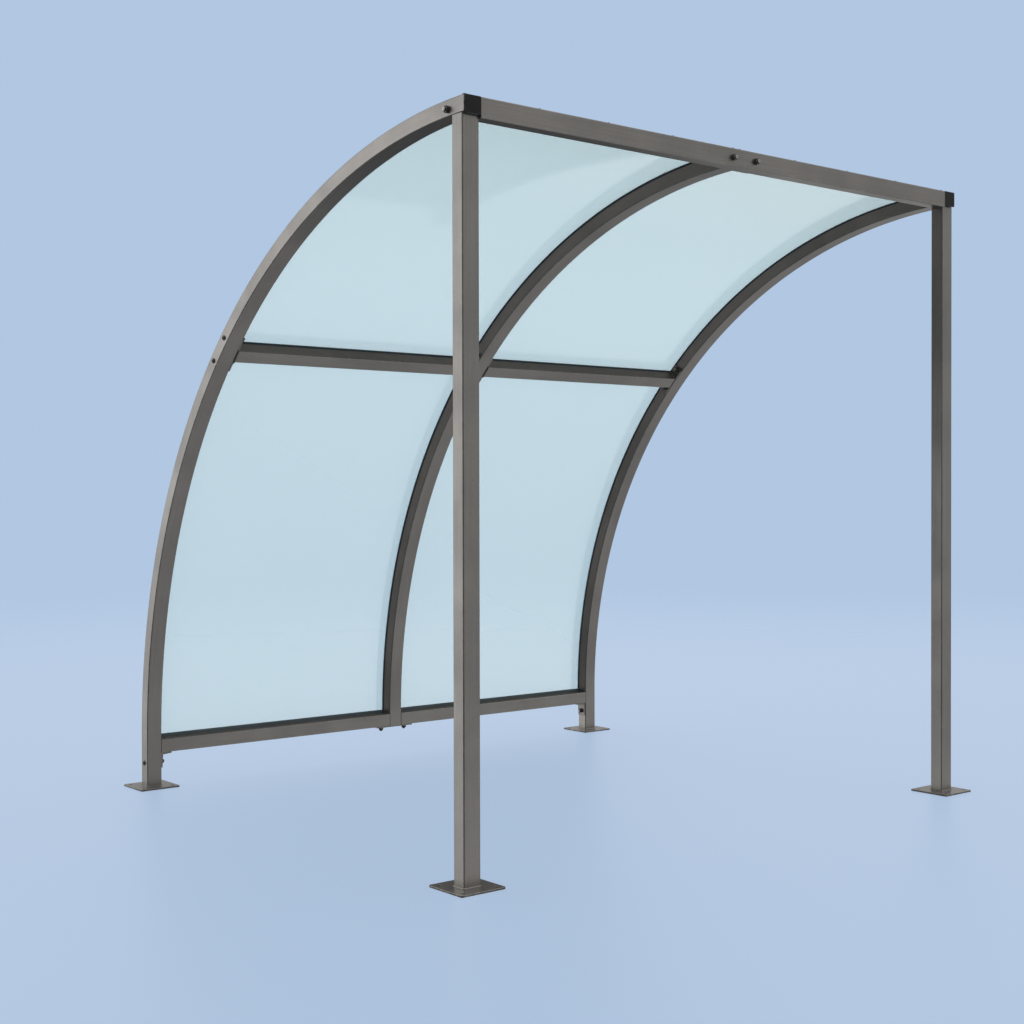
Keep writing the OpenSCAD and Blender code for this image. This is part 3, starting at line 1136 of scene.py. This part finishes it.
# Each face has its own gloss. Where steel mirrors the sheet, a plain grey filter
# stands in for it, dimmer than the real sheet.
mirror = nodes.add("BsdfGlossy", Color=(1.0, 1.0, 1.0, 1.0), Roughness=0.06)
nodes.put(mirror.inputs["Normal"], bump.outputs[0])
gleam = nodes.sums("MULTIPLY_ADD", nodes.sums("POWER", facing, 5.0), 0.5, 0.06)
glossed = nodes.add("MixShader", Fac=gleam)
nodes.put(glossed.inputs[1], both.outputs[0])
nodes.put(glossed.inputs[2], mirror.outputs[0])
dim = nodes.add("BsdfTransparent", Color=(0.41, 0.41, 0.41, 1.0))
veiled = nodes.add("MixShader", Fac=nodes.add("LightPath").outputs["Is Glossy Ray"])
nodes.put(veiled.inputs[1], glossed.outputs[0])
nodes.put(veiled.inputs[2], dim.outputs[0])
nodes.put(nodes.tree.nodes["Material Output"].inputs["Surface"], veiled.outputs[0])

sheet_top = math.acos((upper_low.y - ARC_Y) / SHEET_R)
for hand, sign in (("left", -1), ("right", 1)):
    width, middle = edge_x - gap_x, sign * (edge_x + gap_x) / 2
    outline = rounded_outline(width, SHEET, 0.0008, 3, 0.0006)
    path, out = up_and_over(STRIP_R + SHEET / 2, middle, None, sheet_top, PURLIN_ANGLE + half_gap)
    make_piece(
        "upper_sheet_" + hand,
        carried(*outline, path, X, out),
        sheet_clear,
        ["sheet_upper_" + hand],
    )
    path, out = up_and_over(STRIP_R + SHEET / 2, middle, foot_z, PURLIN_ANGLE - half_gap)
    make_piece(
        "lower_sheet_" + hand,
        carried(*outline, path, X, out),
        sheet_clear,
        ["sheet_lower_" + hand],
    )


# ---------------------------------------------------------------- sheet screws
# Low pan-headed screws with a hexagon socket, through the sheets and strips into
# the steel, each on a dished rubber sealing washer: a line along every rib, and a
# row at each cross member.

SEAL = turned(
    [(0.0030, 0.0), (0.0078, 0.0), (0.0081, 0.0005), (0.0073, 0.0013), (0.0046, 0.0016)], 20
)
SCREW_HEAD = turned(
    [(0.0056, 0.0013), (0.0056, 0.0022), (0.0047, 0.0035), (0.0025, 0.0040)], 20
)
SCREW_SOCKET = turned([(0.0026, 0.0040), (0.0023, 0.0032), (0.0004, 0.0030)], 12)
side_line, middle_line = FACE_X - TUBE_WIDE / 2, 0.016
row_inset = 0.014
purlin_rows = PURLIN_ANGLE + np.array([-1, 1]) * row_inset / SHEET_R
beam_row = math.acos((beam_low.y + 0.038 - ARC_Y) / SHEET_R)
rail_row_z = rail_low.z + 0.034
line_angles = np.concatenate(
    [
        np.linspace(math.radians(1.5), purlin_rows[0], 6),
        np.linspace(purlin_rows[1], beam_row, 6),
    ]
)
row_x = np.linspace(middle_line, side_line, 5)[1:-1]
for hand, sign in (("left", -1), ("right", 1)):
    spots = [
        (around(angle, SHEET_R, sign * x)[0], outward(angle)[0])
        for x in (side_line, middle_line)
        for angle in line_angles
    ]
    spots += [
        (around(angle, SHEET_R, sign * x)[0], outward(angle)[0])
        for x in row_x
        for angle in (*purlin_rows, beam_row)
    ]
    spots += [
        (np.array([sign * x, ARC_Y + SHEET_R, rail_row_z]), Y)
        for x in (middle_line, *row_x, side_line)
    ]
    heads = [stood(part, *spot) for spot in spots for part in (SCREW_HEAD, SCREW_SOCKET)]
    make_piece("sheet_screws_" + hand, gathered(heads), bolt_black, crease=38)
    seals = [stood(SEAL, *spot) for spot in spots]
    make_piece("sheet_seals_" + hand, gathered(seals), rubber, crease=38)


# ---------------------------------------------------------------- ground and light
# A pale blue floor that fades into a plain backdrop of the same blue, under soft
# light: a broad one from above, a strong one from behind on the left.

floor_paint, nodes, shader = new_finish("floor paint", 0.0)
place = nodes.add("TexCoord").outputs["Object"]
patchy = nodes.noise(place, 0.8, 3.0, 0.5)
nodes.put(
    shader.inputs["Base Color"],
    nodes.mixed(patchy, (0.060, 0.077, 0.104, 1.0), (0.063, 0.080, 0.107, 1.0)),
)
shader.inputs["Emission Color"].default_value = (0.332, 0.431, 0.578, 1.0)
shader.inputs["Emission Strength"].default_value = 1.0
shader.inputs["Roughness"].default_value = 0.4
shader.inputs["Specular IOR Level"].default_value = 0.3
far = nodes.add("VectorMath", {"operation": "LENGTH"}, Vector=place).outputs["Value"]
shown = nodes.sums("POWER", nodes.ranged(far, 15.0, 2.5), 2.0)
nodes.put(shader.inputs["Alpha"], shown)
floor_mesh = bpy.data.meshes.new("floor")
turn = np.linspace(0, 2 * np.pi, 96, endpoint=False)
floor_points = 17 * np.stack([np.cos(turn), np.sin(turn), 0 * turn], 1)
floor_mesh.from_pydata(floor_points.tolist(), [], [list(range(len(turn)))])
floor_mesh.materials.append(floor_paint)
floor = bpy.data.objects.new("floor", floor_mesh)
scene.collection.objects.link(floor)
floor.visible_glossy = False

room = bpy.data.worlds.new("room")
scene.world = room
room.use_nodes = True
nodes = Nodes(room.node_tree)
toward = nodes.add("TexCoord").outputs["Generated"]


def softbox(light, direction, full, edge, colour):
    """Adds a round soft light: full strength within one angle of a direction,
    fading to nothing at a wider one."""
    unit = Vector(direction).normalized()
    near = nodes.add("VectorMath", {"operation": "DOT_PRODUCT"})
    nodes.put(near.inputs[0], toward)
    nodes.put(near.inputs[1], unit)
    share = nodes.ranged(
        near.outputs["Value"], math.cos(math.radians(edge)), math.cos(math.radians(full))
    )
    lit = nodes.add("VectorMath", {"operation": "SCALE"}, Scale=share)
    nodes.put(lit.inputs[0], colour)
    total = nodes.add("VectorMath", {"operation": "ADD"})
    nodes.put(total.inputs[0], light)
    nodes.put(total.inputs[1], lit.outputs[0])
    return total.outputs[0]


light = nodes.add("CombineXYZ", X=0.95, Y=0.95, Z=0.95).outputs[0]
light = softbox(light, (0, 0, 1), 30, 85, (0.60, 0.60, 0.60))
lamp = nodes.add("Background", Color=light, Strength=1.0)

# What glossy surfaces mirror is a room of its own, not the lamp above: a dim room
# with the ceiling, a bright card behind on the left, paler ones in front, below and
# behind on the right, and a black flag beside the lens, which takes light away.
mirrored_room = nodes.add("CombineXYZ", X=0.30, Y=0.30, Z=0.30).outputs[0]
for direction, full, edge, colour in (
    ((0, 0, 1), 30, 75, (0.90, 0.90, 0.90)),
    ((-0.615, 0.78, 0.11), 8, 31, (2.05, 2.035, 2.02)),
    ((0.62, -0.74, 0.28), 12, 48, (0.50, 0.49, 0.475)),
    ((0.43, -0.45, -0.78), 18, 56, (0.47, 0.465, 0.455)),
    ((0.62, 0.66, -0.40), 0, 55, (0.26, 0.255, 0.25)),
    ((-0.86, -0.51, 0.0), 5, 38, (-0.26, -0.26, -0.26)),
):
    mirrored_room = softbox(mirrored_room, direction, full, edge, colour)
mirrored_room = nodes.add("VectorMath", {"operation": "MAXIMUM"}, Vector=mirrored_room)
mirrored_room.inputs[1].default_value = (0.03, 0.03, 0.03)
cards = nodes.add("Background", Color=mirrored_room.outputs[0], Strength=1.0)
ray = nodes.add("LightPath").outputs
lit = nodes.add("MixShader", Fac=ray["Is Glossy Ray"])
nodes.put(lit.inputs[1], lamp.outputs[0])
nodes.put(lit.inputs[2], cards.outputs[0])
backdrop = nodes.add("Background", Color=(0.443, 0.571, 0.760, 1.0), Strength=1.0)
seen = nodes.add("MixShader", Fac=ray["Is Camera Ray"])
nodes.put(seen.inputs[1], lit.outputs[0])
nodes.put(seen.inputs[2], backdrop.outputs[0])
nodes.put(nodes.tree.nodes["World Output"].inputs["Surface"], seen.outputs[0])
scene.view_settings.view_transform = "Standard"
